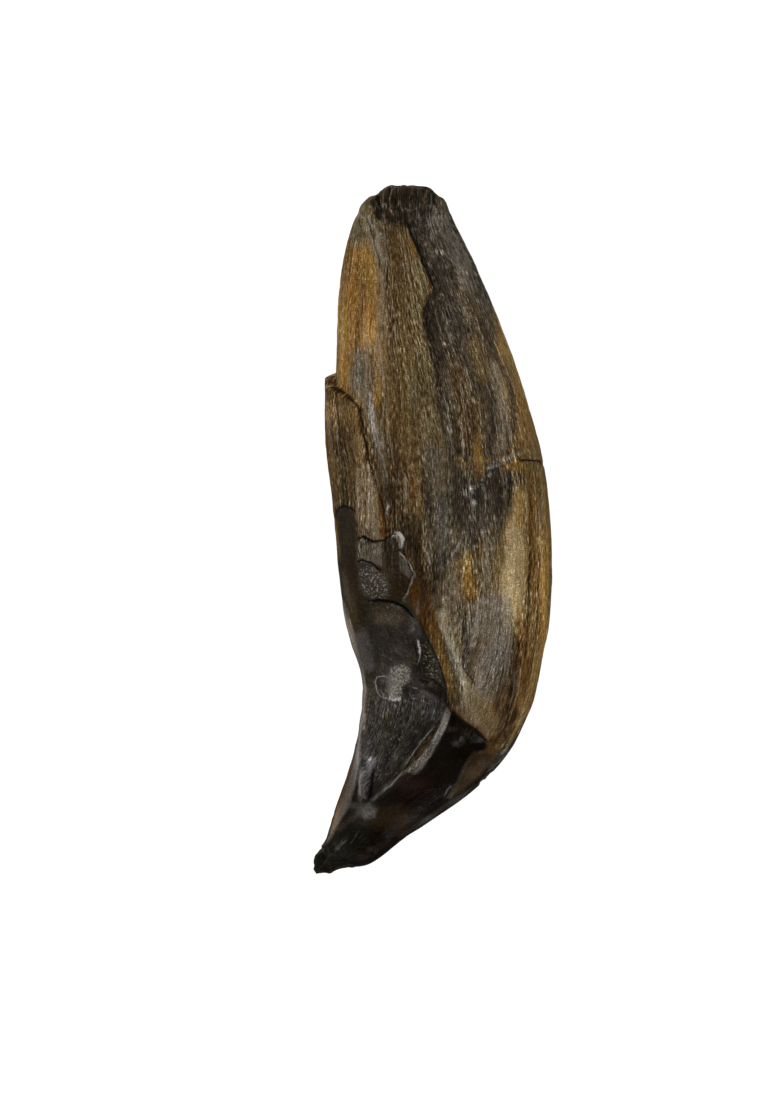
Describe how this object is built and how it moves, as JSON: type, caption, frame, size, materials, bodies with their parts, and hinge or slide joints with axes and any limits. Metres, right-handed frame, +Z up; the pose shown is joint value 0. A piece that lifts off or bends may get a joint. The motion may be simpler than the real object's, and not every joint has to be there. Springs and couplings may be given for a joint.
{
  "type": "fossil bear canine tooth",
  "caption": "Mineralised bear canine lying on its side: long flattened root with a flaked outer layer, bared dentine and a bent, chipped dark crown.",
  "frame": {"origin": "on the surface the tooth lies on, under the centre of its bounding box", "axes": "+X across the tooth towards its bulging edge, +Y along it towards the root end, +Z up from the surface it lies on"},
  "size_m": [0.021, 0.0608, 0.0127],
  "materials": {
    "fossil_tooth": "mineralised tooth: satin fibrous root mottled amber, olive, tan and charcoal, and glossy near-black crown enamel"
  },
  "bodies": {
    "root": {"tooth": "fossil_tooth"}
  },
  "joints": []
}
